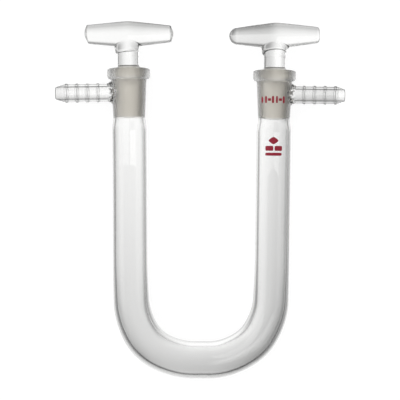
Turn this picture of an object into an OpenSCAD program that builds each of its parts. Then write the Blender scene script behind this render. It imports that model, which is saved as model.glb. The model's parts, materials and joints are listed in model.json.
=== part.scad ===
// U-shaped drying tube of borosilicate glass, lying flat as it comes to rest.
// Each limb ends in a ground-taper socket with a barbed side arm, and holds a
// stopper with a hollow plug and a solid T-handle. A port in each plug meets its
// side arm's bore, so turning the stopper opens or shuts the way through the tube.

/* [U tube] */
// Outside diameter of the tube
tube_d = 16; // [14:0.5:18]
// Wall thickness of the tube
tube_wall = 1.2; // [0.8:0.1:1.6]
// Height of the left limb's rim above the outside of the bend
left_height = 145.6; // [120:0.2:180]
// Height of the right limb's rim above the outside of the bend
right_height = 144.6; // [120:0.2:180]
// Centreline radius of each corner of the bend
bend_radius = 29.6; // [28:0.2:40]
// Straight run between the two corners of the bend
bend_run = 6.6; // [2:0.2:30]
// Lean of each half of the tube outwards, in degrees
limb_splay = 0.7; // [0:0.1:1.2]

/* [Ground joints] */
// Bore of the socket at its rim
joint_d = 14.5; // [13:0.5:16]
// Length of the ground taper
joint_length = 23; // [20:0.5:26]
// Length over which the taper loses 1 mm of diameter
taper_ratio = 10; // [8:1:15]
// Wall of the socket around the ground taper
socket_wall = 1.35; // [1:0.05:1.8]
// Length over which the socket widens into the tube
neck_length = 5.5; // [3:0.5:10]
// Outside diameter of the rim
rim_d = 20.2; // [19.4:0.1:23]
// Height of the rim
rim_height = 5.3; // [4.6:0.1:7]
// Rounding of the rim's upper edge
rim_top_round = 1; // [0.4:0.1:1.2]
// Rounding of the rim's lower edge
rim_foot_round = 2; // [1:0.1:2.4]
// Gap all round between plug and socket
ground_gap = 0.04; // [0.02:0.01:0.08]

/* [Side arms] */
// Distance of the side arms below the rims
arm_drop = 11.1; // [10:0.1:15]
// Length of the left side arm beyond its socket
left_arm_length = 26.2; // [23:0.2:40]
// Length of the right side arm beyond its socket
right_arm_length = 24.9; // [23:0.2:40]
// Outside diameter of the plain arm behind the barbs
arm_d = 8; // [7:0.1:8.4]
// Bore of the side arm
arm_bore = 5; // [3:0.1:5.4]
// Outside diameter over the barbs' crests
barb_d = 8.8; // [8.5:0.1:10]
// Diameter of the arm's tip, where the hose starts
tip_d = 6; // [5.8:0.1:7]
// Length of the tip ahead of the first barb
tip_length = 2.8; // [1:0.1:3.4]
// Distance from the tip's end to the first crest
first_crest = 4.6; // [3.8:0.1:5.2]
// Distance from crest to crest
barb_pitch = 4.9; // [3.6:0.1:5]
// Length of the steep back of each barb
barb_back = 0.9; // [0.4:0.1:1.4]
// Number of barbs on each arm
barb_count = 4; // [2:1:4]
// How far the weld flare at the arm's root spreads past the plain arm
weld_spread = 1.4; // [0.6:0.1:2]
// Length of the weld flare that shows beyond the socket
weld_length = 1.6; // [0.8:0.1:2.4]

/* [Stoppers] */
// Height of the handles' centreline above the rims
handle_height = 16.8; // [15:0.2:24]
// Length of the left handle
left_handle_length = 41.5; // [34:0.5:50]
// Length of the right handle
right_handle_length = 42.6; // [34:0.5:50]
// Diameter of a handle at its middle
handle_d = 11.7; // [11:0.1:13]
// Diameter of a handle at its ends
handle_tip_d = 7.9; // [6.5:0.1:9]
// Rounding of the left handle's outer end
left_outer_round = 1.6; // [0.8:0.1:3.2]
// Rounding of the left handle's inner end
left_inner_round = 2.8; // [0.8:0.1:3.2]
// Rounding of the right handle's outer end
right_outer_round = 1.3; // [0.8:0.1:3.2]
// Rounding of the right handle's inner end, nearly a full dome
right_inner_round = 3.2; // [0.8:0.1:3.2]
// Outside diameter of the stem
stem_d = 9.8; // [9:0.1:10.8]
// Height of the stem's lower end above the rims
stem_foot = 1.8; // [1:0.1:3]
// Outside diameter of the collar that joins the stem to the handle
collar_d = 11.5; // [10.9:0.1:11.7]
// Height of the collar's lower edge above the rims
collar_foot = 7.4; // [5:0.1:9]
// Height over which the stem widens to the collar
collar_edge = 0.9; // [0.4:0.1:1.6]
// Depth of the plug's ground face below the rims
plug_set = 1.5; // [1:0.1:2.5]
// Height of the plug's lower end above the end of the ground taper
plug_clear = 0.5; // [0.2:0.1:1.5]
// Wall of the hollow plug
plug_wall = 1.4; // [1:0.1:1.8]
// Depth of the hollow's domed end, where its curve starts, below the rims
dome_drop = 5.2; // [4.4:0.1:6.4]
// Rise of the hollow's domed end
dome_rise = 1; // [0.6:0.1:3]
// Diameter of the port through the plug's wall
port_d = 2.5; // [1.5:0.1:2.8]

/* [Hidden] */

$fn = 96;
glass = [0.86, 0.92, 0.91, 0.45];
ground = [0.80, 0.79, 0.75, 0.85];
blend_steps = 6;   // straight pieces in each blend between two radii
round_steps = 5;   // straight pieces in each quarter of a rounded edge
over = 1;          // how far a cutter runs past the face that it opens

tube_r = tube_d / 2;
tube_bore_r = tube_r - tube_wall;
joint_r = joint_d / 2;
rim_r = rim_d / 2;
arm_r = arm_d / 2;
barb_r = barb_d / 2;
tip_r = tip_d / 2;
stem_r = stem_d / 2;
handle_r = handle_d / 2;
handle_tip_r = handle_tip_d / 2;

function arm_length(side) = side < 0 ? left_arm_length : right_arm_length;
function handle_length(side) = side < 0 ? left_handle_length : right_handle_length;

// Radius of the ground taper at height z, counted from the rims.
function taper_r(z) = joint_r + z / taper_ratio / 2;

// Upright frame: Z up the limbs, X across them, origin on the centreline of the bend's bottom.
// Each half leans outwards by the splay about the centre of its corner of the bend.
function rim_z(side) = (side < 0 ? left_height : right_height) - tube_r;
function limb_length(side) =
    (rim_z(side) - bend_radius * (1 - sin(limb_splay))) / cos(limb_splay);
half_space = 2 * (bend_radius + left_height + right_height);   // edge of a cube past any half

// Lying down, the tube touches the table with its bend and with the lower
// rounding of its rims, so the table is the common tangent of two circles.
mean_rim_z = (rim_z(-1) + rim_z(1)) / 2;
shoulder_z = mean_rim_z - (rim_height - rim_foot_round) * cos(limb_splay);
shoulder_r = rim_r - rim_foot_round;
rest_tilt = atan2(shoulder_r, shoulder_z)
    - asin((tube_r - rim_foot_round) / norm([shoulder_z, shoulder_r]));

// Middle of the whole part: across, from the reach of its side arms, and
// along, from the bend's outside to the top of the higher handle.
function reach(side) = bend_run / 2
    + (bend_radius + taper_r(-arm_drop) + socket_wall + arm_length(side)) * cos(limb_splay)
    + (limb_length(side) - arm_drop + tip_r) * sin(limb_splay);
handle_z = max(rim_z(-1), rim_z(1)) + handle_height * cos(limb_splay);
middle_x = (reach(1) - reach(-1)) / 2;
middle_y = (handle_z * cos(rest_tilt) + handle_r - tube_r) / 2;

// Points that lead smoothly from radius r0 at height z0 to radius r1 at height z1.
function blend(r0, z0, r1, z1) =
    [for (i = [0:blend_steps]) let (t = i / blend_steps)
        [r0 + (r1 - r0) * t * t * (3 - 2 * t), z0 + (z1 - z0) * t]];

// Points along an arc about centre c, from angle a0 to a1.
function arc(c, r, a0, a1) =
    [for (i = [0:round_steps]) let (a = a0 + (a1 - a0) * i / round_steps)
        [c[0] + r * cos(a), c[1] + r * sin(a)]];

// Points along a hollow flare from radius r0 at height z0 to radius r1 at height z1.
function flare(r0, z0, r1, z1) =
    [for (i = [0:round_steps]) let (a = 90 * i / round_steps)
        [r0 - (r0 - r1) * sin(a), z1 - (z1 - z0) * cos(a)]];

// Lays the upright tube on its back, with the origin on the table under its middle.
module lie_down() {
    translate([-middle_x, -middle_y, tube_r])
        rotate([rest_tilt - 90, 0, 0])
            children();
}

// Half frame: the upright frame, mirrored so that X points to the named side.
module on_half(side) {
    mirror([side < 0 ? 1 : 0, 0, 0])
        children();
}

// Corner frame: origin at the centre of the side's bend corner, Z along its limb.
module on_corner() {
    translate([bend_run / 2, 0, bend_radius])
        rotate([0, limb_splay, 0])
            children();
}

// Limb frame: origin at the rim's centre, Z up the limb's axis, X away from the other limb.
module on_limb(side) {
    translate([bend_radius, 0, limb_length(side)])
        children();
}

// Half of the bend in the corner frame: a quarter turn, then the run past the middle.
module half_bend(r) {
    rotate([-90, 0, 0])
        rotate_extrude(angle = 90)
            translate([bend_radius, 0])
                circle(r = r);
    translate([0, 0, -bend_radius])
        rotate([0, -90, 0])
            cylinder(r = r, h = bend_run);
}

// Outside of one limb: tube, neck, socket and rim, with both edges of the rim rounded.
module limb_outside(side) {
    socket_foot_r = taper_r(-joint_length) + socket_wall;
    socket_top_r = taper_r(-rim_height) + socket_wall;
    foot_z = rim_foot_round - rim_height;
    rotate_extrude()
        polygon(concat(
            [[0, -limb_length(side)], [tube_r, -limb_length(side)]],
            blend(tube_r, -joint_length - neck_length, socket_foot_r, -joint_length),
            [[socket_top_r, -rim_height]],
            arc([shoulder_r, foot_z], rim_foot_round, -90, 0),
            arc([rim_r - rim_top_round, -rim_top_round], rim_top_round, 0, 90),
            [[0, 0]]));
}

// Bore of one limb: tube, neck and ground taper.
module limb_bore(side) {
    rotate_extrude()
        polygon(concat(
            [[0, -limb_length(side)], [tube_bore_r, -limb_length(side)]],
            blend(tube_bore_r, -joint_length - neck_length,
                taper_r(-joint_length), -joint_length),
            [[taper_r(over), over], [0, over]]));
}

// Puts a shape that is drawn along Z on the side arm's axis, starting at the limb's axis.
module along_arm() {
    translate([0, 0, -arm_drop])
        rotate([0, 90, 0])
            children();
}

// Side arm: weld flare, plain tube and barbs that rise gently from the tip to a steep back.
module side_arm(side) {
    wall_x = taper_r(-arm_drop) + socket_wall;
    end_x = wall_x + arm_length(side);
    root_r = arm_r + weld_spread;
    root_x = sqrt(wall_x * wall_x - root_r * root_r) - ground_gap;
    rotate_extrude()
        polygon(concat(
            [[0, root_x]],
            flare(root_r, root_x, arm_r, wall_x + weld_length),
            [for (i = [barb_count - 1:-1:0])
                let (crest_x = end_x - first_crest - i * barb_pitch)
                    each [[arm_r, crest_x - barb_back], [barb_r, crest_x]]],
            [[tip_r, end_x - tip_length], [tip_r, end_x], [0, end_x]]));
}

module side_arm_bore(side) {
    cylinder(d = arm_bore, h = joint_r + socket_wall + arm_length(side) + over);
}

// One half of the tube with its socket and side arm, cut at the middle of the bend.
module half_tube(side) {
    difference() {
        on_corner() {
            half_bend(tube_r);
            on_limb(side) {
                limb_outside(side);
                along_arm() side_arm(side);
            }
        }
        on_corner() {
            half_bend(tube_bore_r);
            on_limb(side) {
                limb_bore(side);
                along_arm() side_arm_bore(side);
            }
        }
        translate([-half_space / 2, 0, 0])
            cube(half_space, center = true);
    }
}

module u_tube() {
    color(glass)
        lie_down()
            for (side = [-1, 1])
                on_half(side) half_tube(side);
}

// Ground face's radius on the plug at height z.
function plug_r(z) = taper_r(z) - ground_gap;

plug_foot_z = plug_clear - joint_length;

// Outside of the plug, stem and collar.
module plug_outside() {
    collar_r = collar_d / 2;
    rotate_extrude()
        polygon(concat(
            [[0, plug_foot_z], [plug_r(plug_foot_z), plug_foot_z]],
            blend(plug_r(-plug_set), -plug_set, stem_r, stem_foot),
            blend(stem_r, collar_foot - collar_edge, collar_r, collar_foot),
            [[collar_r, handle_height], [0, handle_height]]));
}

// Points over a low dome from radius r at height z up to the axis.
function dome(r, z, rise) =
    [for (i = [0:round_steps]) let (a = 90 * i / round_steps)
        [r * cos(a), z + rise * sin(a)]];

// Hollow of the plug, open at its foot and slightly domed under the stem.
module plug_hollow() {
    rotate_extrude()
        polygon(concat(
            [[0, plug_foot_z - over], [plug_r(plug_foot_z - over) - plug_wall, plug_foot_z - over]],
            dome(plug_r(-dome_drop) - plug_wall, -dome_drop, dome_rise)));
}

// Handle: a bar that tapers from its middle to rounded ends.
module handle_bar(length, outer_round, inner_round) {
    tip_x = length / 2;
    translate([0, 0, handle_height])
        rotate([0, 90, 0])
            rotate_extrude()
                polygon(concat(
                    [[0, -tip_x]],
                    arc([handle_tip_r - inner_round, inner_round - tip_x], inner_round, -90, 0),
                    [[handle_r, 0]],
                    arc([handle_tip_r - outer_round, tip_x - outer_round], outer_round, 0, 90),
                    [[0, tip_x]]));
}

// Stopper: plug, stem, collar and handle in one, with its port towards the side arm.
module stopper(side, outer_round, inner_round) {
    lie_down() on_half(side) on_corner() on_limb(side)
        difference() {
            union() {
                plug_outside();
                handle_bar(handle_length(side), outer_round, inner_round);
            }
            plug_hollow();
            along_arm()
                cylinder(d = port_d, h = joint_d);
        }
}

module left_stopper() {
    color(ground)
        stopper(-1, left_outer_round, left_inner_round);
}

module right_stopper() {
    color(ground)
        stopper(1, right_outer_round, right_inner_round);
}

u_tube();
left_stopper();
right_stopper();
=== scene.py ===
"""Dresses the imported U-shaped drying tube: blown glass tube, ground stoppers, enamel marks and stage.

Every surface is worked out in the limbs' own frames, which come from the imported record, so each
piece stands where the solid that it replaces stands. Lengths in the settings are in metres.
"""

import json
import math

import bmesh
import bpy
import numpy as np
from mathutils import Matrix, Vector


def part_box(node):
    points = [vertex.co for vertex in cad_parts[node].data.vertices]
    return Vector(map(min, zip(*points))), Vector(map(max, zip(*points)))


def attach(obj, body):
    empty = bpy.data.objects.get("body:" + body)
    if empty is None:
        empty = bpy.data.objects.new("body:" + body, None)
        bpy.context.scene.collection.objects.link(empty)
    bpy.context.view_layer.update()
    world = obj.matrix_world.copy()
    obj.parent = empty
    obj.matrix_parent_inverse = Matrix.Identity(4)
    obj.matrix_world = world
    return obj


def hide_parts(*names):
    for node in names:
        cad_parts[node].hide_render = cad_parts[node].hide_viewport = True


bl_info = {
    "name": "Drying tube",
    "version": (1, 0, 0),
    "blender": (4, 5, 0),
    "location": "3D View > Sidebar > Drying tube",
    "description": "Builds a U-shaped drying tube: its glass, ground joints, enamel marks and stage",
    "category": "Add Mesh",
}

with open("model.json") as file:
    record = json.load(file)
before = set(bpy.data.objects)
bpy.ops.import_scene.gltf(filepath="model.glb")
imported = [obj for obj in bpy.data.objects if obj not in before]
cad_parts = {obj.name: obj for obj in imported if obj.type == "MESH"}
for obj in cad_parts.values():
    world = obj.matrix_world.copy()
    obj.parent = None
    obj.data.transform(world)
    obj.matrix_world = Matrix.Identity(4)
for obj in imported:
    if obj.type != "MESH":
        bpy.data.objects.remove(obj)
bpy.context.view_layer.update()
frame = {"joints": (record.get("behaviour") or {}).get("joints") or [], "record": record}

MM = 0.001
SIDES = ("left", "right")
MOUNTS = {m["name"]: m for m in frame["record"]["mounts"]}
JOINTS = {j["name"]: j for j in frame["joints"]}


# ---------------------------------------------------------------- frames

class Frame:
    """An origin and three unit axes: a point (a, b, c) lies at origin + a*x + b*y + c*z."""

    def __init__(self, origin, x, y, z):
        self.origin = np.array(origin, float)
        self.axes = np.array([x, y, z], float)

    def place(self, points):
        return self.origin + np.asarray(points, float) @ self.axes

    def read(self, point):
        return self.axes @ (np.array(point, float) - self.origin)


def unit(vector):
    vector = np.array(vector, float)
    return vector / np.linalg.norm(vector)


def limb_frame(side):
    """Origin at the rim's centre, axes out along the side arm, front away from the table, up the limb."""
    joint = JOINTS[side + "_stopper_turn"]
    up = unit(joint["axis"])
    out = np.array(MOUNTS[side + "_hose_tip"]["axis"])
    out = unit(out - up * (out @ up))
    front = np.cross(up, out)
    return Frame(joint["pos_m"], out, front * np.sign(front[2]), up)


LIMBS = {side: limb_frame(side) for side in SIDES}


def arm_place(side):
    """Distance of the side arm's axis below the rim, and of its tip's end from the limb's axis."""
    tip = MOUNTS[side + "_hose_tip"]
    out, _, up = LIMBS[side].read(tip["pos_m"])
    return -up, out + tip["dims"]["length_mm"] * MM / 2


# ---------------------------------------------------------------- settings

def length(name, description, default):
    return bpy.props.FloatProperty(name=name, description=description, default=default,
                                   min=0.0, unit="LENGTH", precision=5)


def shade(name, description, default):
    return bpy.props.FloatVectorProperty(name=name, description=description, default=default,
                                         size=3, min=0.0, max=1.0, subtype="COLOR")


def plain(name, description, default, low=0.0, high=10.0):
    return bpy.props.FloatProperty(name=name, description=description, default=default,
                                   min=low, max=high)


class TubeSizes(bpy.types.PropertyGroup):
    """Sizes of the blown tube with its sockets and side arms."""
    tube_radius: length("Tube radius", "Outside radius of the limbs", 8 * MM)
    tube_wall: length("Tube wall", "Wall of the limbs", 1.2 * MM)
    bend_radius: length("Bend radius", "Centreline radius of each corner of the bend", 29.6 * MM)
    bend_swell: length("Bend swell", "How far the bend's half width passes the limb's radius", 0.8 * MM)
    bend_inner_wall: length("Bend inner wall", "Wall on the inside of the bend", 1.9 * MM)
    bend_outer_wall: length("Bend outer wall", "Wall on the outside of the bend", 1.95 * MM)
    left_lean: length("Left lean", "How far the left limb's foot lies outside its line", 0.45 * MM)
    left_corner: length("Left corner", "How far the left corner bulges outside its arc", 0.75 * MM)
    right_corner: length("Right corner", "How far the right corner bulges outside its arc", 0.45 * MM)
    joint_radius: length("Joint radius", "Radius of the ground taper at the rim", 7.25 * MM)
    joint_length: length("Joint length", "Length of the ground taper", 23 * MM)
    left_unlapped: length("Left unlapped end", "Clear length at the end of the left taper", 0.1 * MM)
    right_unlapped: length("Right unlapped end", "Clear length at the end of the right taper", 0.85 * MM)
    socket_wall: length("Socket wall", "Wall around the ground taper", 1.35 * MM)
    neck_length: length("Neck length", "Length over which the socket widens into the limb", 5.5 * MM)
    rim_radius: length("Rim radius", "Outside radius of the rim", 10.1 * MM)
    rim_height: length("Rim height", "Height of the rim", 5.3 * MM)
    left_arm: length("Left arm", "Outside radius of the plain left side arm", 4.15 * MM)
    right_arm: length("Right arm", "Outside radius of the plain right side arm", 4.0 * MM)
    tip_radius: length("Tip radius", "Radius of the side arm's tip", 3.0 * MM)
    left_bore: length("Left bore", "Radius of the left side arm's bore", 2.75 * MM)
    right_bore: length("Right bore", "Radius of the right side arm's bore", 2.5 * MM)
    left_barb: length("Left barb", "Radius over the left arm's raised bands", 4.45 * MM)
    right_barb: length("Right barb", "Radius over the right arm's raised bands", 4.35 * MM)
    barb_pitch: length("Barb pitch", "Distance from crest to crest", 4.9 * MM)
    left_crest: length("Left crest", "Distance from the left tip's end to the first crest", 5.0 * MM)
    right_crest: length("Right crest", "Distance from the right tip's end to the first crest", 4.3 * MM)
    weld_spread: length("Weld spread", "How far the weld spreads round the arm's root", 1.15 * MM)
    weld_height: length("Weld height", "How far the weld climbs along the arm", 2.2 * MM)


class StopperSizes(bpy.types.PropertyGroup):
    """Sizes of the stoppers with their plugs, stems and T-handles."""
    handle_height: length("Handle height", "Height of the handle's axis above the rim", 16.5 * MM)
    handle_radius: length("Handle radius", "Radius of the handle at its middle", 6.05 * MM)
    stem_radius: length("Stem radius", "Outside radius of the stem", 5.0 * MM)
    collar_radius: length("Collar radius", "Radius of the weld collar under the handle", 5.7 * MM)
    plug_wall: length("Plug wall", "Wall of the hollow plug", 1.4 * MM)
    dome_drop: length("Dome drop", "Depth of the hollow's domed end, where its curve starts", 5.2 * MM)
    dome_rise: length("Dome rise", "Rise of the hollow's domed end", 1.0 * MM)
    plug_set: length("Plug set", "Depth of the plug's shoulder below the rim", 1.5 * MM)
    plug_clear: length("Plug clearance", "Height of the plug's foot above the taper's end", 0.5 * MM)
    ground_gap: length("Ground gap", "Gap between plug and socket", 0.04 * MM)
    port_radius: length("Port radius", "Radius of the port in the plug's wall", 1.25 * MM)


class GlassLook(bpy.types.PropertyGroup):
    """Colours and finish of the glass and of the enamel."""
    tint: shade("Glass tint", "Colour of the clear glass", (0.995, 0.995, 0.992))
    ground_tint: shade("Ground tint", "Colour of the ground faces", (0.99, 0.965, 0.915))
    absorb: shade("Absorption colour", "Colour that thick glass takes on", (0.62, 0.63, 0.59))
    absorb_density: plain("Absorption density", "How fast thick glass darkens, per metre", 12.0, 0.0, 500.0)
    enamel: shade("Enamel", "Colour of the fired enamel marks", (0.32, 0.008, 0.030))


class StageLook(bpy.types.PropertyGroup):
    """Camera, table and light."""
    camera_height: length("Camera height", "Height of the camera above the table", 0.60)
    view_width: length("View width", "Width of the view at the tube's axis", 0.1875)
    aim_x: bpy.props.FloatProperty(name="Aim across", description="Place of the camera across the limbs",
                                   default=-0.1 * MM, unit="LENGTH", precision=5)
    aim_y: bpy.props.FloatProperty(name="Aim along", description="Place of the camera along the limbs",
                                   default=-0.05 * MM, unit="LENGTH", precision=5)
    glow: plain("Table glow", "Brightness of the table's own light", 0.9)
    panel_depth: length("Panel depth", "Depth of the light panel below the table", 0.55)
    panel_high: plain("Panel bright end", "Brightness of the panel towards the stoppers", 1.08)
    panel_low: plain("Panel dim end", "Brightness of the panel past the bend", 0.62)
    panel_sides: plain("Panel sides", "Share of the brightness left at the panel's sides", 0.34, 0.0, 1.0)
    panel_edge: plain("Panel edge", "Share of the brightness left at the panel's rim", 0.3, 0.0, 1.0)
    sky: plain("Room brightness", "Brightness of the room in reflections and at glancing angles", 0.33)
    window: plain("Window brightness", "Brightness of the tall window on the left in reflections", 1.3)
    fill: plain("Fill light", "Brightness of the room as a light", 0.8)


# ---------------------------------------------------------------- surfaces

class Patch:
    """A grid of points, rows by columns, with the share of ground finish at each point."""

    def __init__(self, points, ground=0.0):
        self.points = np.asarray(points, float)
        self.ground = np.broadcast_to(np.asarray(ground, float), self.points.shape[:2])

    def faces(self, first):
        rows, columns = self.points.shape[:2]
        corner = first + np.arange(rows * columns).reshape(rows, columns)
        return np.stack([corner[:-1, :-1], corner[:-1, 1:], corner[1:, 1:], corner[1:, :-1]],
                        axis=-1).reshape(-1, 4)


def smooth(t):
    """Rises from 0 to 1 with level ends: 3t^2 - 2t^3 of t held between 0 and 1."""
    t = np.clip(t, 0.0, 1.0)
    return t * t * (3.0 - 2.0 * t)


def add_object(name, data):
    """Puts a new object that shows the data into the scene."""
    item = bpy.data.objects.new(name, data)
    bpy.context.scene.collection.objects.link(item)
    return item


def mesh_of(name, patches, body, replaced=None):
    """Joins patches into one closed mesh: points that coincide become one, and faces turn outwards."""
    starts = np.cumsum([0] + [p.ground.size for p in patches])
    mesh = bpy.data.meshes.new(name)
    mesh.from_pydata(np.concatenate([p.points.reshape(-1, 3) for p in patches]), [],
                     np.concatenate([p.faces(s) for p, s in zip(patches, starts)]).tolist())
    mesh.attributes.new("ground", "FLOAT", "POINT").data.foreach_set(
        "value", np.concatenate([p.ground.reshape(-1) for p in patches]).astype(np.float32))
    work = bmesh.new()
    work.from_mesh(mesh)
    bmesh.ops.remove_doubles(work, verts=work.verts, dist=0.0004 * MM)
    loose = [e for e in work.edges if len(e.link_faces) != 2]
    if loose:
        raise RuntimeError(f"{name} has {len(loose)} open or doubled edges, one near "
                           f"{tuple(round(1000 * c, 2) for c in loose[0].verts[0].co)} mm")
    bmesh.ops.recalc_face_normals(work, faces=work.faces)
    if work.calc_volume(signed=True) < 0:
        bmesh.ops.reverse_faces(work, faces=work.faces)
    work.to_mesh(mesh)
    work.free()
    mesh.polygons.foreach_set("use_smooth", np.ones(len(mesh.polygons), bool))
    mesh.set_sharp_from_angle(angle=math.radians(50))
    piece = add_object(name, mesh)
    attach(piece, body)
    if replaced:
        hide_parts(replaced)
    return piece


def around(count):
    return np.linspace(0.0, 2 * math.pi, count + 1)


def revolve(profile, count, ground=0.0):
    """A profile of (radius, height) turned about the Z axis: (r cos a, r sin a, z)."""
    r, z = np.asarray(profile, float).T
    a = around(count)
    points = np.stack([np.outer(r, np.cos(a)), np.outer(r, np.sin(a)),
                       np.outer(z, np.ones_like(a))], axis=-1)
    return Patch(points, np.reshape(ground, (-1, 1)) if np.ndim(ground) else ground)


def turned(radius_at, z, count, ground=0.0):
    """A stretch of a turned surface, of radius radius_at(z) at each height z."""
    return revolve(np.stack([radius_at(z), z], -1), count, ground)


def arc(centre, radius, start, stop, steps):
    """Points (x, y) on a circle's arc, or an ellipse's where radius is a pair; angles in degrees."""
    a = np.radians(np.linspace(start, stop, steps + 1))
    rx, ry = radius if np.ndim(radius) else (radius, radius)
    return np.stack([centre[0] + rx * np.cos(a), centre[1] + ry * np.sin(a)], axis=-1)


class Window:
    """A rectangle of a turned surface, |angle| < half_angle and low < z < high, that a round way leaves
    through. Its border has the surface's own grid points, so the patch inside it closes on the rest."""

    def __init__(self, radius_at, count, half_steps, low, high, rows, centre_z):
        self.radius_at, self.count, self.half_steps = radius_at, count, half_steps
        self.z = np.linspace(low, high, rows + 1)
        step = 2 * math.pi / count
        across = np.arange(-half_steps, half_steps + 1) * step
        middle = rows // 2
        right = np.stack([np.full(rows + 1, across[-1]), self.z], axis=-1)
        left = np.stack([np.full(rows + 1, across[0]), self.z], axis=-1)
        top = np.stack([across, np.full(len(across), high)], axis=-1)
        foot = np.stack([across, np.full(len(across), low)], axis=-1)
        self.border = np.concatenate([right[middle:-1], top[::-1][:-1], left[::-1][:-1],
                                      foot[:-1], right[:middle + 1]])
        self.centre_z = centre_z
        scale = radius_at(np.array(centre_z))
        phi = np.arctan2(self.border[:, 1] - centre_z, self.border[:, 0] * scale)
        phi = np.unwrap(phi)
        self.phi = phi - 2 * math.pi * round(phi[0] / (2 * math.pi))
        self.phi[-1] = self.phi[0] + 2 * math.pi

    def surface(self, angle, z):
        r = self.radius_at(z)
        return np.stack([r * np.cos(angle), r * np.sin(angle), z], axis=-1)

    def rest(self, ground=0.0):
        """The same band outside the window."""
        step = 2 * math.pi / self.count
        angle = np.arange(self.half_steps, self.count - self.half_steps + 1) * step
        a, z = np.meshgrid(angle, self.z)
        return Patch(self.surface(a, z), ground)

    def height(self, across, z):
        """Distance of the surface from the turning axis, along the way's own axis."""
        return np.sqrt(np.maximum(self.radius_at(z) ** 2 - across ** 2, 0.0))

    def collar(self, half_width, half_height, rows, ground=0.0):
        """From an ellipse round the way's axis out to the border, lying on the surface: angle and z are
        mixed in a straight line between the two curves."""
        inner_z = self.centre_z + half_height * np.sin(self.phi)
        inner_a = np.arcsin(np.clip(half_width * np.cos(self.phi) / self.radius_at(inner_z), -1, 1))
        s = (np.linspace(0, 1, rows + 1) ** 1.3)[:, None]
        a = inner_a * (1 - s) + self.border[:, 0] * s
        z = inner_z * (1 - s) + self.border[:, 1] * s
        return Patch(self.surface(a, z), ground)


# ---------------------------------------------------------------- U tube

AROUND = 96

# in degrees from the bend's lowest point: the bell by which each corner bulges, as its middle and
# width, and the angle below which the left limb's lean fades
CORNER_BELLS = {"left": (46, 20), "right": (47, 14)}
LEAN_FADES_BELOW = 60

# raised bands on the side arms, in mm: half their width, and the length of each edge within it
BAND_HALF, BAND_EDGE = 0.62, 0.16

# weld at a side arm's root: how much further it spreads across the limb, and its lumps' height
WELD_ACROSS = 0.7 * MM
LUMPS_ROUND, LUMPS_OUT = 0.28 * MM, 0.36 * MM


def taper(sizes, z):
    """Radius of the 1 in 10 ground taper at height z below the rim."""
    return sizes.joint_radius + np.asarray(z, float) / 20


def plane_frame(sizes):
    """The plane in which the whole tube lies: origin on the bend's centreline, at its lowest point."""
    rise = unit([0.0, LIMBS["left"].axes[2][1], LIMBS["left"].axes[2][2]])
    low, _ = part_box("u_tube")
    origin = np.array([0.0, low.y + sizes.tube_radius, sizes.tube_radius])
    feet = []
    for side in SIDES:
        limb = LIMBS[side]
        up = limb.axes[2]
        feet.append(limb.origin[0] - (limb.origin - origin) @ rise * up[0] / (up @ rise))
    origin[0] = sum(feet) / 2
    return Frame(origin, (1, 0, 0), (0, -rise[2], rise[1]), rise), (feet[1] - feet[0]) / 2


def bend_path(sizes):
    """Centreline from the left neck to the right one, in the tube's own plane.

    Each limb is a straight line to its corner; a corner is an arc of bend_radius about a centre that
    lies bend_radius above the lowest point; a straight run joins the two. Gives centre points (across,
    rise), outward normals, and the distance that each point lies past the limb's end.
    """
    plane, half = plane_frame(sizes)
    radius = sizes.bend_radius
    halves = []
    for side, sign in (("left", -1), ("right", 1)):
        limb = LIMBS[side]
        up = np.array([limb.axes[2][0] * sign, limb.axes[2] @ plane.axes[2]])
        lean = math.atan2(up[0], up[1])
        centre = np.array([half + radius * math.tan(lean) - radius / math.cos(lean), radius])
        top = plane.read(limb.origin)[[0, 2]] * [sign, 1]
        top = top - up * (sizes.joint_length + sizes.neck_length)
        start = centre + radius * np.array([math.cos(lean), -math.sin(lean)])
        limb_t = np.linspace(0, 1, 29)[:, None]
        straight = top + (start - top) * limb_t
        angle = -np.linspace(lean, math.pi / 2, 47)[1:]
        turn = centre + radius * np.stack([np.cos(angle), np.sin(angle)], axis=-1)
        run = np.stack([centre[0] * np.linspace(1, 0, 4)[1:], np.zeros(3)], axis=-1)
        points = np.concatenate([straight, turn, run])
        normal = np.concatenate([np.tile([math.cos(lean), -math.sin(lean)], (29, 1)),
                                 np.stack([np.cos(angle), np.sin(angle)], axis=-1),
                                 np.tile([0.0, -1.0], (3, 1))])
        step = np.linalg.norm(np.diff(points, axis=0), axis=1)
        past = np.concatenate([[0], np.cumsum(step)]) - np.linalg.norm(start - top)
        halves.append((points * [sign, 1], normal * [sign, 1], past))
    (pl, nl, dl), (pr, nr, dr) = halves
    return (plane, np.concatenate([pl, pr[::-1][1:]]), np.concatenate([nl, nr[::-1][1:]]),
            np.concatenate([dl, dr[::-1][1:]]))


def swept(plane, centres, normals, half_width, half_depth, shift):
    """An oval carried along a path: centre + (shift + w cos a) normal + (d sin a) front."""
    a = around(AROUND)
    across = shift[:, None] + half_width[:, None] * np.cos(a)
    points = np.stack([centres[:, :1] + normals[:, :1] * across,
                       half_depth[:, None] * np.sin(a),
                       centres[:, 1:] + normals[:, 1:] * across], axis=-1)
    return Patch(plane.place(points))


def sway(sizes, centres, normals, past):
    """How far a hand-bent centreline lies outside its arcs: a slow lean that grows down the left limb
    and fades towards the lowest point, and at each corner a bell e^-((angle - middle) / width)^2 of the
    angle from the lowest point."""
    angle = np.degrees(np.arctan2(np.abs(normals[:, 0]), -normals[:, 1]))
    lean = sizes.left_lean * smooth(1 - past / past[0]) * smooth(angle / LEAN_FADES_BELOW)

    def bulge(side):
        middle, width = CORNER_BELLS[side]
        return getattr(sizes, side + "_corner") * np.exp(-((angle - middle) / width) ** 2)

    return np.where(centres[:, 0] < 0, lean + bulge("left"), bulge("right"))


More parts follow.
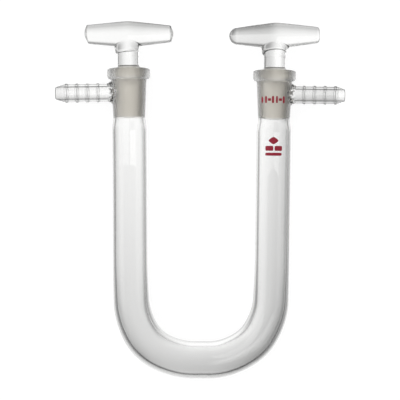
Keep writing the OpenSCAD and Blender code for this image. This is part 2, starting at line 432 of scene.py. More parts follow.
def bend_patches(sizes):
    """Outside and bore of the limbs and bend. The bend swells towards its inside, and its bore stays
    nearer to its outside, as on a hand-bent tube."""
    plane, centres, normals, past = bend_path(sizes)
    swell = smooth((past + 20 * MM) / (43 * MM))
    wide = sizes.tube_radius + sizes.bend_swell * swell
    deep = np.full_like(wide, sizes.tube_radius)
    shift = sway(sizes, centres, normals, past) - sizes.bend_swell * swell
    bore = sizes.tube_radius - sizes.tube_wall
    walls = sizes.bend_inner_wall + sizes.bend_outer_wall
    bent_bore = sizes.tube_radius + sizes.bend_swell - walls / 2
    bore_wide = bore + (bent_bore - bore) * swell
    offset = (sizes.bend_inner_wall - sizes.bend_outer_wall) / 2 * swell
    bore_deep = np.full_like(wide, bore)
    skins = [swept(plane, centres, normals, wide, deep, shift),
             swept(plane, centres, normals, bore_wide, bore_deep, shift + offset)]
    neck = -sizes.joint_length - sizes.neck_length
    for side, row in (("left", 0), ("right", -1)):
        for skin, radius in zip(skins, (sizes.tube_radius, bore)):
            skin.points[row] = LIMBS[side].place(revolve([(radius, neck)], AROUND).points[0])
    return skins


def arm_profile(sizes, side, start, end):
    """Radius along the side arm from its weld to its tip, as points (distance, radius). Each barb is a
    narrow raised band on a plain arm that narrows to its tip."""
    last = end - 0.5 * MM
    crests = end - getattr(sizes, side + "_crest") - np.arange(4) * sizes.barb_pitch
    half = np.array([0.2, 0.46, 0.5, 0.54, 0.58, BAND_HALF])
    near = np.concatenate([-half, half]) * MM
    x = np.unique(np.concatenate([np.linspace(start, last, 34), (crests[:, None] + near).ravel()]))
    x = x[(x >= start) & (x <= last)]
    plain_r = getattr(sizes, side + "_arm")
    r = np.full_like(x, plain_r)
    for crest in crests:
        band = smooth((BAND_HALF - np.abs(x - crest) / MM) / BAND_EDGE)
        r += (getattr(sizes, side + "_barb") - plain_r) * band
    crest = getattr(sizes, side + "_crest")
    narrow = np.clip((x - (end - crest + 0.9 * MM)) / (crest - 1.4 * MM), 0, 1)
    return np.stack([x, r - (r - sizes.tip_radius) * narrow], axis=-1)


def socket_patches(sizes, side):
    """Socket, rim and side arm of one limb, in the limb's frame.

    Outside: neck, window band round the arm, rim turned as one profile over the rim's lip and down the
    ground taper; the arm leaves its window through a concave weld, and its bore leaves the taper
    through a smaller window.
    """
    drop, end = arm_place(side)
    foot, neck = -sizes.joint_length, -sizes.joint_length - sizes.neck_length
    wall, arm_r = sizes.socket_wall, getattr(sizes, side + "_arm")
    bore_way = getattr(sizes, side + "_bore")

    def outside(z):
        return taper(sizes, z) + wall

    def inside(z):
        return taper(sizes, z)

    outer = Window(outside, AROUND, 16, -drop - 6.4 * MM, -drop + 5.4 * MM, 16, -drop)
    inner = Window(inside, AROUND, 8, -drop - 4 * MM, -drop + 4 * MM, 32, -drop)
    t = np.linspace(0, 1, 13)
    tube_r, bore_r = sizes.tube_radius, sizes.tube_radius - sizes.tube_wall
    neck_z = neck + (foot - neck) * t
    neck_out = tube_r + (outside(foot) - tube_r) * smooth(t)
    neck_in = bore_r + (inside(foot) - bore_r) * smooth(t)
    below = np.linspace(foot, outer.z[0], 6)[1:]
    patches = [revolve(np.concatenate([np.stack([neck_out, neck_z], -1),
                                       np.stack([outside(below), below], -1)]), AROUND)]
    # rim: a soft foot, a side that leans inwards, a rounded top and a small lip at the bore
    rim, high = sizes.rim_radius, sizes.rim_height
    start = outside(outer.z[-1])
    lip = taper(sizes, -0.5 * MM)
    profile = np.concatenate([
        [[start, outer.z[-1]]],
        arc((start + 0.45 * MM, -high - 0.35 * MM), (0.45 * MM, 0.7 * MM), 180, 90, 5),
        arc((rim - 1.5 * MM, -high + 2.35 * MM), (1.5 * MM, 2.0 * MM), -90, 0, 10),
        arc((rim - 1.0 * MM, -1.0 * MM), 1.0 * MM, 0, 90, 8),
        [[lip + 0.9 * MM, 0.0]],
        arc((lip + 0.5 * MM, -0.5 * MM), 0.5 * MM, 90, 180, 6)])
    patches.append(revolve(profile, AROUND))
    to_window = np.linspace(-0.5 * MM, inner.z[-1], 16)
    patches.append(turned(inside, to_window, AROUND, 1.0))
    patches.append(inner.rest(1.0))
    patches.append(inner.collar(bore_way, bore_way, 8, 1.0))
    # the lap stops a little above the taper's end
    lapped = foot + getattr(sizes, side + "_unlapped")
    to_foot = np.concatenate([np.linspace(inner.z[0], lapped, 10),
                              np.linspace(lapped - 0.05 * MM, foot, 3)])
    patches.append(turned(inside, to_foot, AROUND, (to_foot >= lapped).astype(float)))
    edge = np.array([foot, foot - 0.12 * MM])
    first = np.interp(edge, neck_z, neck_in)
    below = np.concatenate([edge, neck_z[::-1][1:]])
    bore = np.concatenate([first, neck_in[::-1][1:]])
    patches.append(revolve(np.stack([bore, below], -1), AROUND))
    patches.append(outer.rest())
    root = arm_r + sizes.weld_spread
    patches.append(outer.collar(root + WELD_ACROSS, root, 10))

    def ring(radius, x, phi):
        """Points of a ring about the arm's axis."""
        radius, x, phi = np.broadcast_arrays(radius, x, phi)
        return np.stack([x, radius * np.cos(phi), -drop + radius * np.sin(phi)], axis=-1)

    # weld: a quarter ellipse that leaves the socket level and ends along the arm
    tau = np.radians(np.linspace(0, 90, 17))[:, None]
    lumps = (np.sin(5 * outer.phi + 1.3) * np.sin(2 * tau) ** 2
             + 0.7 * np.sin(11 * outer.phi) * np.sin(4 * tau))
    rho = arm_r + sizes.weld_spread * (1 - np.sin(tau)) + LUMPS_ROUND * lumps
    front = (rho + WELD_ACROSS * (1 - np.sin(tau))) * np.cos(outer.phi)
    rise = -drop + rho * np.sin(outer.phi)
    weld = outer.height(front, rise) + sizes.weld_height * (1 - np.cos(tau)) + LUMPS_OUT * lumps
    patches.append(Patch(np.stack([weld, front, rise], axis=-1)))
    straight = float(outside(-drop)) + sizes.weld_height + 0.8 * MM
    t = np.linspace(0, 1, 4)[:, None]
    patches.append(Patch(ring(np.full((4, 1), arm_r), weld[-1] * (1 - t) + straight * t,
                              outer.phi)))
    profile = arm_profile(sizes, side, straight, end)
    profile[0, 1] = arm_r
    tip_r = profile[-1, 1]
    tip = np.concatenate([
        profile,
        arc((end - 0.5 * MM, tip_r - 0.5 * MM), 0.5 * MM, 0, 90, 6)[::-1][1:],
        arc((end - 0.4 * MM, bore_way + 0.4 * MM), 0.4 * MM, 0, -90, 6)])
    patches.append(Patch(ring(tip[:, 1:], tip[:, :1], outer.phi)))
    # bore: back to the ground taper, where its ring follows the taper's own curve
    s = np.linspace(0, 1, 24)[:, None]
    phi = outer.phi * (1 - s) + inner.phi * s
    mouth = inner.height(bore_way * np.cos(inner.phi), -drop + bore_way * np.sin(inner.phi))
    x = tip[-1, 0] * (1 - s) + mouth * s
    patches.append(Patch(ring(np.full((24, 1), bore_way), x, phi)))
    for patch in patches:
        patch.points = LIMBS[side].place(patch.points)
    return patches


# ---------------------------------------------------------------- stoppers

STEM_AROUND = 144

# how each handle ends and stands, in mm: each end's reach from the stem's axis, its corner and bulge,
# and its slope and slant as shares; the bar's tilt in degrees and its lift; and the weld collar's drop
# below the bar, its slopes across and to the front, and how far it lies off the stem's axis
HANDLES = {
    "left": {"out": dict(reach=20.45, slope=0.099, corner=0.9, bulge=1.1, slant=0.10),
             "in": dict(reach=21.3, slope=0.120, corner=1.2, bulge=0.9, slant=0.0),
             "tilt": 0.3, "lift": -0.3,
             "collar": dict(drop=7.1, across=-0.21, front=-0.03, shift=0.4, ahead=0.0)},
    "right": {"out": dict(reach=20.95, slope=0.128, corner=1.5, bulge=0.15, slant=0.0),
              "in": dict(reach=21.5, slope=0.138, corner=4.0, bulge=0.0, slant=0.0),
              "tilt": 1.5, "lift": 0.0,
              "collar": dict(drop=7.6, across=0.05, front=0.24, shift=-0.3, ahead=0.5)},
}


def bar_radius(sizes, side, x):
    """Radius along a handle: its middle, less the slope times a softened distance sqrt(x^2+e^2)-e."""
    ends = HANDLES[side]
    soft = np.sqrt(x * x + (2.2 * MM) ** 2) - 2.2 * MM
    slope = np.where(x > 0, ends["out"]["slope"], ends["in"]["slope"])
    return sizes.handle_radius - slope * soft


def bar_end(sizes, side, which):
    """Profile of one end, from the body to the axis: a rounded corner, then a flat or bulged face."""
    end = HANDLES[side][which]
    sign = 1 if which == "out" else -1
    at = (end["reach"] - end["corner"] - end["bulge"]) * MM
    body = float(bar_radius(sizes, side, np.array(sign * at)))
    corner = end["corner"] * MM
    turn = arc((at, body - min(corner, body)), (corner, min(corner, body)), 90, 0, 12)
    flat = turn[-1, 1]
    face_r = flat * (1 - np.linspace(0, 1, 11)[1:])
    face = np.stack([turn[-1, 0] + end["bulge"] * MM * (1 - (face_r / max(flat, 1e-9)) ** 2), face_r], -1)
    return np.concatenate([turn, face[:len(face) * (flat > 1e-7)]]) * [sign, 1]


def bar_patches(sizes, side, hole_w, hole_h, half_steps, window_half, rows):
    """A handle turned about its own axis, with a window underneath for the stem."""
    def radius_at(x):
        return bar_radius(sizes, side, np.asarray(x, float))

    count = AROUND
    window = Window(radius_at, count, half_steps, -window_half, window_half, rows, 0.0)
    patches = [window.rest(), window.collar(hole_w, hole_h, 14)]
    for which, sign in (("out", 1), ("in", -1)):
        end = bar_end(sizes, side, which)
        body_x = np.linspace(sign * window_half, end[0, 0], 14)[:-1]
        body = np.stack([body_x, radius_at(body_x)], -1)
        profile = np.concatenate([body, end])
        slant = HANDLES[side][which]["slant"]
        patch = revolve(profile[:, ::-1], count)
        if slant:
            # lean the end: points shift along the bar with their height, more towards the end
            x, height = patch.points[..., 2], -patch.points[..., 0]
            share = smooth((np.abs(x) / MM - 15.0) / 5.0)
            patch.points[..., 2] = x + sign * slant * height * share
        patches.append(patch)
    return window, patches


def stopper_patches(sizes, tube, side):
    """Hollow plug with its port, and solid stem, weld collar and handle."""
    drop, _ = arm_place(side)
    top = sizes.handle_height + HANDLES[side]["lift"] * MM
    tilt = math.radians(HANDLES[side]["tilt"])
    turn = np.array([[math.cos(tilt), 0, math.sin(tilt)],
                     [0, 1, 0],
                     [-math.sin(tilt), 0, math.cos(tilt)]])

    def on_bar(points):
        """The bar's frame (towards the stem, front, along) to the limb's (out, front, up)."""
        down, front, along = np.moveaxis(np.asarray(points), -1, 0)
        return np.stack([along, front, -down], axis=-1) @ turn + np.array([0, 0, top])

    weld_w, weld_h = 5.3 * MM, 6.6 * MM
    outer, bar = bar_patches(sizes, side, weld_w, weld_h, 24, 10 * MM, 24)
    patches = [Patch(on_bar(p.points), p.ground) for p in bar]

    # in the bar's frame a point of the window at angle phi lies along = cz + h sin phi, front = w cos phi
    def stem_ring(phi, radius, z, centre=0.0):
        """A ring about the stem's axis whose phi is counted as the window's is."""
        radius, z, phi = np.broadcast_arrays(radius, z, phi)
        return np.stack([centre + radius * np.sin(phi), radius * np.cos(phi), z], axis=-1)

    phi = outer.phi
    even = around(STEM_AROUND)
    ends = on_bar(np.stack([outer.height(weld_w * np.cos(phi), weld_h * np.sin(phi)),
                            weld_w * np.cos(phi), weld_h * np.sin(phi)], -1))
    # direction in which the handle's surface runs in towards the stem at the weld's edge
    nearer = on_bar(np.stack([outer.height(0.97 * weld_w * np.cos(phi), 0.97 * weld_h * np.sin(phi)),
                              0.97 * weld_w * np.cos(phi), 0.97 * weld_h * np.sin(phi)], -1))
    heading = (nearer - ends) / np.linalg.norm(nearer - ends, axis=-1, keepdims=True)
    lean = HANDLES[side]["collar"]
    collar = stem_ring(phi, sizes.collar_radius, top - lean["drop"] * MM, lean["shift"] * MM)
    collar[..., 2] += lean["across"] * collar[..., 0] + lean["front"] * collar[..., 1]
    collar[..., 1] += lean["ahead"] * MM
    t = np.linspace(0, 1, 15)[:, None, None]
    down = np.array([0, 0, -1.0])
    pull = 1.6 * MM
    weld = ((2 * t**3 - 3 * t**2 + 1) * ends + (t**3 - 2 * t**2 + t) * (0.4 * heading + 0.6 * down) * pull
            + (3 * t**2 - 2 * t**3) * collar + (t**3 - t**2) * down * pull)
    patches.append(Patch(weld))
    # collar's edge: rounds under and meets the stem
    stem_r = sizes.stem_radius
    bead = arc((0, 0), (1.0, 0.8 * MM), 0, -90, 9)
    share = bead[:, :1, None]
    low = bead[:, 1:, None]
    rows = stem_ring(phi, stem_r + 0.08 * MM, 0.0)
    edge = collar * share + rows * (1 - share)
    edge[..., 2] = collar[..., 2] + low[..., 0]
    patches.append(Patch(edge))
    meet_z = 4.2 * MM
    start = edge[-1]
    level = stem_ring(phi, stem_r, meet_z)
    narrow = smooth(np.linspace(0, 1, 9) * 1.5)[:, None]
    part = np.linspace(0, 1, 9)[:, None]
    blend = np.stack([start[:, 0] * (1 - narrow) + level[:, 0] * narrow,
                      start[:, 1] * (1 - narrow) + level[:, 1] * narrow,
                      start[:, 2] * (1 - part) + level[:, 2] * part], axis=-1)
    patches.append(Patch(blend))
    stem_foot = 1.5 * MM
    rows_z = np.linspace(meet_z, stem_foot, 9)[:, None]
    mix = np.linspace(0, 1, 9)[:, None]
    patches.append(Patch(stem_ring(phi * (1 - mix) + even * mix, stem_r, rows_z)))

    # plug: shoulder, ground cone with the port's window, foot and hollow
    foot = sizes.plug_clear - tube.joint_length
    shoulder = -sizes.plug_set

    def cone(z):
        return taper(tube, z) - sizes.ground_gap

    def hollow_cone(z):
        return cone(z) - sizes.plug_wall

    port_out = Window(cone, STEM_AROUND, 10, -drop - 2.6 * MM, -drop + 2.6 * MM, 12, -drop)
    port_in = Window(hollow_cone, STEM_AROUND, 10, -drop - 2.6 * MM, -drop + 2.6 * MM, 12, -drop)
    t = np.linspace(0, 1, 23)
    # the stem's rings are counted from the front; the plug's from the arm, so its profile starts anew
    blend_z = stem_foot + (shoulder - stem_foot) * t
    blend_r = stem_r + (cone(shoulder) - stem_r) * smooth(t) ** 0.95
    frost = (blend_z < -0.3 * MM).astype(float)
    shoulder_patch = revolve(np.stack([blend_r, blend_z], -1), STEM_AROUND, frost)
    patches.append(shoulder_patch)
    z = np.linspace(shoulder, port_out.z[-1], 10)
    patches.append(turned(cone, z, STEM_AROUND, 1.0))
    patches += [port_out.rest(1.0), port_out.collar(sizes.port_radius, sizes.port_radius, 6, 1.0)]
    soft = 0.3 * MM
    z = np.linspace(port_out.z[0], foot + soft, 10)
    patches.append(turned(cone, z, STEM_AROUND, 1.0))
    narrow_r = float(hollow_cone(foot))
    lip = np.concatenate([arc((float(cone(foot + soft)) - soft, foot + soft), soft, 0, -90, 4),
                          arc((narrow_r + soft, foot + soft), soft, -90, -180, 4)])
    patches.append(revolve(lip, STEM_AROUND, np.array([1.0] + [0.0] * (len(lip) - 1))))
    z = np.linspace(foot + soft, port_in.z[0], 8)
    radii = hollow_cone(z)
    radii[0] = narrow_r
    patches.append(revolve(np.stack([radii, z], -1), STEM_AROUND))
    patches += [port_in.rest(), port_in.collar(sizes.port_radius, sizes.port_radius, 6)]
    s = np.linspace(0, 1, 5)[:, None]
    way = port_out.phi * (1 - s) + port_in.phi * s
    across, rise = sizes.port_radius * np.cos(way), sizes.port_radius * np.sin(way)
    far = port_out.height(sizes.port_radius * np.cos(port_out.phi),
                          -drop + sizes.port_radius * np.sin(port_out.phi))
    near = port_in.height(sizes.port_radius * np.cos(port_in.phi),
                          -drop + sizes.port_radius * np.sin(port_in.phi))
    patches.append(Patch(np.stack([far * (1 - s) + near * s, across, -drop + rise], axis=-1)))
    z = np.linspace(port_in.z[-1], -sizes.dome_drop, 6)
    patches.append(turned(hollow_cone, z, STEM_AROUND))
    dome = arc((0, -sizes.dome_drop), (float(hollow_cone(-sizes.dome_drop)), sizes.dome_rise), 0, 90, 24)
    patches.append(revolve(dome, STEM_AROUND))
    for patch in patches:
        patch.points = LIMBS[side].place(patch.points)
    return patches


# ---------------------------------------------------------------- enamel marks

def mark_patches(limb, radius_at, centre_out, centre_z, half_w, half_h, corner):
    """A plain mark on a tube: a rounded outline |u|^p + |v|^p = 1 wrapped on the tube's front, with a
    thickness of 0.05 mm. corner is p: 2 gives a dot, 1 a lozenge, 6 a bar."""
    a = around(48)
    c, s = np.cos(a), np.sin(a)
    edge = np.stack([np.sign(c) * np.abs(c) ** (2 / corner), np.sign(s) * np.abs(s) ** (2 / corner)], -1)
    rings = np.array([0.0, 0.5, 0.85, 0.97, 1.0, 1.0, 0.97, 0.85, 0.5, 0.0])
    lift = np.array([1.0, 1.0, 1.0, 0.9, 0.6, 0.0, -0.3, -0.3, -0.3, -0.3]) * 0.05 * MM + 0.03 * MM
    u = rings[:, None] * edge[:, 0] * half_w
    z = centre_z + rings[:, None] * edge[:, 1] * half_h
    base = radius_at(z)
    angle = math.pi / 2 - (centre_out + u) / base
    r = base + lift[:, None]
    points = np.stack([r * np.cos(angle), r * np.sin(angle), z], axis=-1)
    return Patch(limb.place(points))


# ---------------------------------------------------------------- materials

class Wire:
    """A shader socket that can be added, subtracted and multiplied as a number is."""

    def __init__(self, nodes, socket):
        self.nodes, self.socket = nodes, socket

    def _math(self, operation, *values):
        return self.nodes.add("ShaderNodeMath", {"operation": operation}, dict(enumerate(values)))

    def __add__(self, other): return self._math("ADD", self, other)
    def __radd__(self, other): return self._math("ADD", other, self)
    def __sub__(self, other): return self._math("SUBTRACT", self, other)
    def __rsub__(self, other): return self._math("SUBTRACT", other, self)
    def __mul__(self, other): return self._math("MULTIPLY", self, other)
    def __rmul__(self, other): return self._math("MULTIPLY", other, self)

    def between(self, low, high):
        """0 at low, 1 at high, smooth between them, held outside."""
        return self.nodes.add("ShaderNodeMapRange", {"interpolation_type": "SMOOTHSTEP"},
                              {"Value": self, "From Min": low, "From Max": high})


class Nodes:
    """The nodes of one material or of the world."""

    def __init__(self, owner):
        owner.use_nodes = True
        self.tree = owner.node_tree
        self.tree.nodes.clear()

    def add(self, kind, settings=None, sockets=None, out=0):
        """Adds a node: its settings first, then the values or wires of its sockets, by name or number.
        Returns a wire from its output, by name or number."""
        node = self.tree.nodes.new(kind)
        for name, value in (settings or {}).items():
            setattr(node, name, value)
        for name, value in (sockets or {}).items():
            if isinstance(value, Wire):
                self.tree.links.new(value.socket, node.inputs[name])
            else:
                node.inputs[name].default_value = value
        return Wire(self, node.outputs[out]) if len(node.outputs) else node

    def mix(self, factor, a, b):
        """A colour between a and b."""
        return self.add("ShaderNodeMix", {"data_type": "RGBA"}, {0: factor, 6: a, 7: b}, 2)

    def place(self, scale):
        """Object coordinates, stretched by scale."""
        return self.add("ShaderNodeMapping", None,
                        {"Vector": self.add("ShaderNodeTexCoord", None, None, "Object"), "Scale": scale})

    def noise(self, scale, detail=2.0, size=1.0):
        """Even noise from 0 to 1; scale gives its cells per metre along each axis."""
        return self.add("ShaderNodeTexNoise", None,
                        {"Vector": self.place(scale), "Scale": size, "Detail": detail})


def rgba(colour):
    return (*colour, 1.0)


def glass_material(look):
    """Clear glass that turns ground where the mesh says so. Clear: faint drawing lines along the
    limbs and a slow waviness. Ground: warm, matt, with fine rings from the lap and soft streaks."""
    material = bpy.data.materials.new("glass")
    nodes = Nodes(material)
    ground = nodes.add("ShaderNodeAttribute", {"attribute_name": "ground"}, None, "Fac").between(0.3, 0.7)
    streaks = nodes.noise((900, 60, 900), 3.0)
    rings = nodes.noise((150, 5200, 150), 2.0)
    blotches = nodes.noise((260, 130, 260), 3.0)
    grain = nodes.noise((9000, 9000, 9000), 2.0)
    waves = nodes.noise((240, 16, 240), 1.0)
    clear = nodes.mix(waves, rgba(look.tint), rgba([c * 0.995 for c in look.tint]))
    worn = nodes.mix((streaks * 0.55 + blotches * 0.45).between(0.25, 0.75),
                     rgba([c * 0.95 for c in look.ground_tint]), rgba(look.ground_tint))
    colour = nodes.mix(ground, clear, worn)
    matt = 0.34 + 0.16 * blotches + 0.06 * rings
    roughness = ground * matt + (1 - ground) * (0.012 * waves)
    height = ground * (0.6 * grain + 0.4 * rings) * 0.000012 + (1 - ground) * waves * 0.00003
    normal = nodes.add("ShaderNodeBump", None, {"Height": height, "Strength": 1.0, "Distance": 1.0})
    surface = nodes.add("ShaderNodeBsdfPrincipled", None, {
        "Base Color": colour, "Roughness": roughness, "Normal": normal,
        "IOR": 1.47, "Transmission Weight": 1.0})
    volume = nodes.add("ShaderNodeVolumeAbsorption", None,
                       {"Color": rgba(look.absorb), "Density": look.absorb_density})
    nodes.add("ShaderNodeOutputMaterial", None, {"Surface": surface, "Volume": volume})
    return material


def enamel_material(look):
    """Fired enamel: a slightly uneven red with a soft gloss."""
    material = bpy.data.materials.new("red_enamel")
    nodes = Nodes(material)
    cloud = nodes.noise((1500, 1500, 1500), 3.0)
    grain = nodes.noise((9000, 9000, 9000), 2.0)
    colour = nodes.mix(cloud, rgba(look.enamel), rgba([c * 0.72 for c in look.enamel]))
    normal = nodes.add("ShaderNodeBump", None, {"Height": grain * 0.00001, "Strength": 0.6, "Distance": 1.0})
    surface = nodes.add("ShaderNodeBsdfPrincipled", None, {
        "Base Color": colour, "Roughness": 0.28 + 0.2 * cloud, "Normal": normal, "IOR": 1.5})
    nodes.add("ShaderNodeOutputMaterial", None, {"Surface": surface})
    return material


def one_material(name, make):
    return bpy.data.materials.get(name) or make()


def table_material(look):
    """White table: it glows for the eye and in reflections, keeps a soft shadow, and lets rays that come
    through the glass pass on to the light panel below."""
    material = bpy.data.materials.new("white_table")
    material.cycles.emission_sampling = "NONE"
    nodes = Nodes(material)
    through = nodes.add("ShaderNodeLightPath", None, None, "Is Transmission Ray")
    glow = nodes.add("ShaderNodeEmission", None, {"Color": (1, 1, 1, 1), "Strength": look.glow})
    paper = nodes.add("ShaderNodeBsdfDiffuse", None, {"Color": (0.16, 0.16, 0.16, 1)})
    top = nodes.add("ShaderNodeAddShader", None, {0: glow, 1: paper})
    clear = nodes.add("ShaderNodeBsdfTransparent")
    surface = nodes.add("ShaderNodeMixShader", None, {0: through, 1: top, 2: clear})
    nodes.add("ShaderNodeOutputMaterial", None, {"Surface": surface})
    return material


# places on the light panel, in metres from its middle: where each change of brightness starts and ends
PANEL_LENGTHWISE, PANEL_SIDEWAYS, PANEL_RIM = (-0.27, 0.16), (0.0, 0.37), (0.70, 0.95)
PANEL_UNDER_SOCKETS, PANEL_FAR_SIDES, PANEL_BELOW_SOCKETS = (0.075, 0.125), (0.42, 0.60), (0.112, 0.128)
# how far left of its middle the panel is brightest, and how much less its sides dim under the sockets
PANEL_BRIGHTEST, PANEL_SOCKET_SHARE = 0.05, 0.4


def panel_material(look):
    """Light panel below the table, seen only through the glass. It is brighter towards the stoppers
    than past the bend, dimmer towards its sides, less so where the sockets look at it, brighter again
    far out to the sides of the bend, and dim at its rim. Places are in metres from its middle."""
    material = bpy.data.materials.new("light_panel")
    material.cycles.emission_sampling = "NONE"
    nodes = Nodes(material)
    place = nodes.add("ShaderNodeTexCoord", None, None, "Object")
    along = nodes.add("ShaderNodeSeparateXYZ", None, {"Vector": place}, "Y")
    across = nodes.add("ShaderNodeSeparateXYZ", None, {"Vector": place}, "X")
    aside = nodes.add("ShaderNodeMath", {"operation": "ABSOLUTE"}, {0: across + PANEL_BRIGHTEST})
    outwards = nodes.add("ShaderNodeVectorMath", {"operation": "LENGTH"}, {0: place}, "Value")
    strength = look.panel_low + (look.panel_high - look.panel_low) * along.between(*PANEL_LENGTHWISE)
    dimming = (1 - look.panel_sides) * (1 - PANEL_SOCKET_SHARE * along.between(*PANEL_UNDER_SOCKETS))
    strength = strength * (1 - dimming * aside.between(*PANEL_SIDEWAYS))
    far_sides = aside.between(*PANEL_FAR_SIDES) * (1 - along.between(*PANEL_BELOW_SOCKETS))
    strength = strength * (1 + far_sides)
    strength = strength * (1 - (1 - look.panel_edge) * outwards.between(*PANEL_RIM))
    glow = nodes.add("ShaderNodeEmission", None, {"Color": (1, 1, 1, 1), "Strength": strength})
    nodes.add("ShaderNodeOutputMaterial", None, {"Surface": glow})
    return material


def disc(name, radius, height, material):
    """A round sheet, (r cos a, r sin a, height), that belongs to the stage."""
    sheet = revolve(np.stack([np.linspace(0, radius, 9), np.full(9, height)], -1), 64)
    mesh = bpy.data.meshes.new(name)
    mesh.from_pydata(sheet.points.reshape(-1, 3), [], sheet.faces(0).tolist())
    mesh.validate()
    mesh.materials.append(material)
    add_object(name, mesh)


# ---------------------------------------------------------------- operators

class DRYINGTUBE_OT_u_tube(bpy.types.Operator):
    """Blows the U tube with its two ground sockets and barbed side arms, in place of the plain solid"""
    bl_idname = "drying_tube.u_tube"
    bl_label = "U tube"

    def execute(self, context):
        scene = context.scene
        sizes = scene.tube_sizes
        patches = bend_patches(sizes)
        for side in SIDES:
            patches += socket_patches(sizes, side)
        piece = mesh_of("blown_u_tube", patches, "tube", "u_tube")
        piece.data.materials.append(one_material("glass", lambda: glass_material(scene.glass_look)))
        return {"FINISHED"}


class DRYINGTUBE_OT_stoppers(bpy.types.Operator):
    """Makes the two hollow stoppers with ground plugs and T-handles, in place of the plain solids"""
    bl_idname = "drying_tube.stoppers"
    bl_label = "Stoppers"

    def execute(self, context):
        scene = context.scene
        for side in SIDES:
            patches = stopper_patches(scene.stopper_sizes, scene.tube_sizes, side)
            piece = mesh_of(side + "_glass_stopper", patches, side + "_plug", side + "_stopper")
            piece.data.materials.append(one_material("glass", lambda: glass_material(scene.glass_look)))
        return {"FINISHED"}


class DRYINGTUBE_OT_enamel_marks(bpy.types.Operator):
    """Prints plain red marks on the right socket and limb, where such glass carries its size"""
    bl_idname = "drying_tube.enamel_marks"
    bl_label = "Enamel marks"

    def execute(self, context):
        scene = context.scene
        sizes = scene.tube_sizes
        limb = LIMBS["right"]

        def socket(z):
            return taper(sizes, z) + sizes.socket_wall

        def tube(z):
            return np.full_like(z, sizes.tube_radius)

        drop = 13.9 * MM
        size_mark = [mark_patches(limb, socket, x * MM, -drop, w * MM, h * MM, p)
                     for x, w, h, p in ((-6.5, 0.60, 1.45, 2.0), (-4.4, 0.50, 1.6, 5), (-2.7, 0.74, 0.6, 5),
                                        (-1.0, 0.50, 1.6, 5), (0.8, 0.44, 1.6, 5), (2.5, 0.74, 0.6, 5),
                                        (4.2, 0.50, 1.6, 5))]
        print_marks = [mark_patches(limb, tube, x * MM, z * MM, w * MM, h * MM, p)
                       for x, z, w, h, p in ((-0.5, -32.9, 2.3, 1.7, 1.3), (-2.5, -36.5, 1.9, 1.15, 6),
                                             (1.8, -36.5, 1.8, 1.15, 6), (-0.5, -39.2, 3.9, 0.7, 6))]
        for name, marks in (("right_size_mark", size_mark), ("right_limb_mark", print_marks)):
            piece = mesh_of(name, marks, "tube")
            piece.data.materials.append(one_material("red_enamel", lambda: enamel_material(scene.glass_look)))
        return {"FINISHED"}


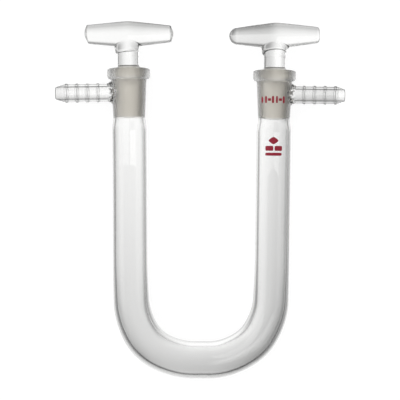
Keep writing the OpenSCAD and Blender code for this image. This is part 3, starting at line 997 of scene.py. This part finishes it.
class DRYINGTUBE_OT_stage(bpy.types.Operator):
    """Sets the white table, the shaded light panel below it, the studio light and the camera"""
    bl_idname = "drying_tube.stage"
    bl_label = "Stage"

    def execute(self, context):
        scene = context.scene
        look = scene.stage_look
        disc("table", 3.0, -0.05 * MM, table_material(look))
        disc("light_panel", 1.0, -look.panel_depth, panel_material(look))

        world = bpy.data.worlds.new("studio")
        scene.world = world
        nodes = Nodes(world)
        glossy = nodes.add("ShaderNodeLightPath", None, None, "Is Glossy Ray")
        through = nodes.add("ShaderNodeLightPath", None, None, "Is Transmission Ray")
        towards = nodes.add("ShaderNodeTexCoord", None, None, "Generated")
        left = 0 - nodes.add("ShaderNodeSeparateXYZ", None, {"Vector": towards}, "X")
        above = nodes.add("ShaderNodeSeparateXYZ", None, {"Vector": towards}, "Z").between(0.0, 0.4)
        room = look.sky + (look.window - look.sky) * left.between(0.55, 0.85)
        strength = look.fill + (room - look.fill) * glossy
        outside = look.sky + (look.fill - look.sky) * above
        strength = strength + (outside - strength) * through * (1 - glossy)
        nodes.add("ShaderNodeOutputWorld", None, {"Surface": nodes.add(
            "ShaderNodeBackground", None, {"Color": (1, 1, 1, 1), "Strength": strength})})

        lamp = bpy.data.lights.new("softbox", "AREA")
        lamp.shape, lamp.size, lamp.size_y, lamp.energy = "RECTANGLE", 0.7, 0.5, 2.0
        softbox = add_object("softbox", lamp)
        softbox.location = (-0.35, 0.25, 0.75)
        softbox.rotation_euler = (math.radians(-18), math.radians(-25), 0)
        softbox.visible_glossy = False

        lens = bpy.data.cameras.new("camera")
        lens.sensor_width = 36.0
        lens.clip_start = 0.01
        axis_height = LIMBS["left"].origin[2]
        lens.lens = 36.0 * (look.camera_height - axis_height) / look.view_width
        camera = add_object("camera", lens)
        camera.location = (look.aim_x, look.aim_y, look.camera_height)
        scene.camera = camera
        scene.view_settings.view_transform = "Standard"
        return {"FINISHED"}


class DRYINGTUBE_PT_panel(bpy.types.Panel):
    bl_idname = "DRYINGTUBE_PT_panel"
    bl_label = "Drying tube"
    bl_space_type = "VIEW_3D"
    bl_region_type = "UI"
    bl_category = "Drying tube"

    def draw(self, context):
        layout = self.layout
        for name, title in SETTINGS_TITLES.items():
            box = layout.box()
            box.label(text=title)
            group = getattr(context.scene, name)
            for item in group.bl_rna.properties:
                if item.identifier not in ("rna_type", "name"):
                    box.prop(group, item.identifier)
        for operator in OPERATORS:
            layout.operator(operator.bl_idname)


SETTINGS = {"tube_sizes": TubeSizes, "stopper_sizes": StopperSizes, "glass_look": GlassLook,
            "stage_look": StageLook}
SETTINGS_TITLES = {"tube_sizes": "U tube", "stopper_sizes": "Stoppers", "glass_look": "Glass",
                   "stage_look": "Stage"}
OPERATORS = (DRYINGTUBE_OT_u_tube, DRYINGTUBE_OT_stoppers, DRYINGTUBE_OT_enamel_marks,
             DRYINGTUBE_OT_stage)
CLASSES = (*SETTINGS.values(), *OPERATORS, DRYINGTUBE_PT_panel)


def register():
    for item in CLASSES:
        bpy.utils.register_class(item)
    for name, group in SETTINGS.items():
        setattr(bpy.types.Scene, name, bpy.props.PointerProperty(type=group))


def unregister():
    for name in SETTINGS:
        delattr(bpy.types.Scene, name)
    for item in reversed(CLASSES):
        bpy.utils.unregister_class(item)


def main():
    register()
    bpy.ops.drying_tube.stage()
    bpy.ops.drying_tube.u_tube()
    bpy.ops.drying_tube.stoppers()
    bpy.ops.drying_tube.enamel_marks()


if __name__ == "__main__":
    main()
